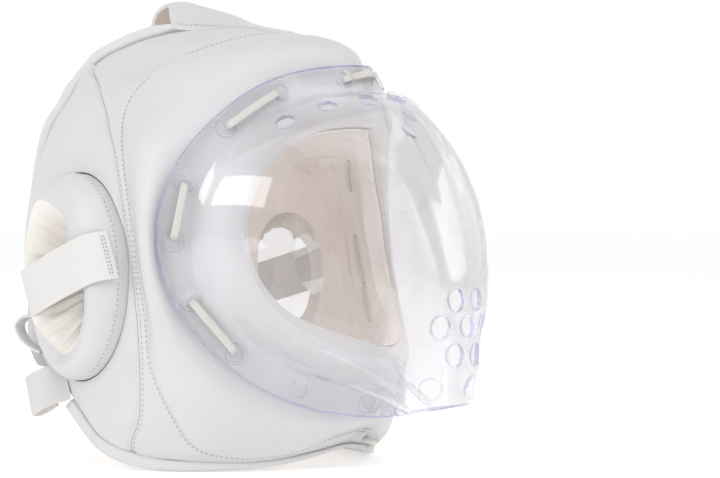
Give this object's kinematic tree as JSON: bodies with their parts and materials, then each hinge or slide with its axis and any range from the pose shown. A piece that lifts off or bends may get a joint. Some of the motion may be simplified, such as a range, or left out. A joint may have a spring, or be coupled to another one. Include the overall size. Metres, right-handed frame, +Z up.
{
  "type": "padded head guard with bubble face shield",
  "caption": "Full-face padded leather head guard with ear rings, open crown and back, and a clear bubble face shield laced round its rim through punched holes",
  "frame": {"origin": "below the middle of the helmet, at the height of the surface that the neck rim stands on", "axes": "+Z is up when worn or stood down; the wearer faces -Y; the wearer's right side is -X, and the two sides mirror each other in X"},
  "size_m": [0.2432, 0.268, 0.2558],
  "materials": {
    "leather": "soft white leatherette, faintly grained, satin",
    "binding": "white folded tape, matt, stitched along its inner edge",
    "lining": "beige brushed cloth, matt",
    "shield": "clear moulded plastic, glossy, with a faint violet tint at its cut edges",
    "lace": "flat braided off-white cord, matt",
    "elastic": "white ribbed elastic webbing, matt"
  },
  "bodies": {
    "root": {"front_pad": "leather", "gusset_right": "leather", "gusset_left": "leather", "side_panel_right": "leather", "side_panel_left": "leather", "ear_ring_right": "leather", "ear_ring_left": "leather", "nape_loop_right": "leather", "nape_loop_left": "leather", "crown_flap": "leather", "edge_binding_right": "binding", "edge_binding_left": "binding", "rim_binding": "binding", "lining_right": "lining", "lining_left": "lining", "lining_front": "lining", "face_shield": "shield", "lace_front": "lace", "lace_outer_1_right": "lace", "lace_outer_1_left": "lace", "lace_outer_2_right": "lace", "lace_outer_2_left": "lace", "lace_outer_3_right": "lace", "lace_outer_3_left": "lace", "lace_inner_1_right": "lace", "lace_inner_1_left": "lace", "lace_inner_2_right": "lace", "lace_inner_2_left": "lace", "lace_inner_3_right": "lace", "lace_inner_3_left": "lace", "chin_knot": "lace", "ear_strap_right": "elastic", "ear_strap_left": "elastic", "rear_loop_right": "elastic", "rear_loop_left": "elastic"}
  },
  "joints": []
}
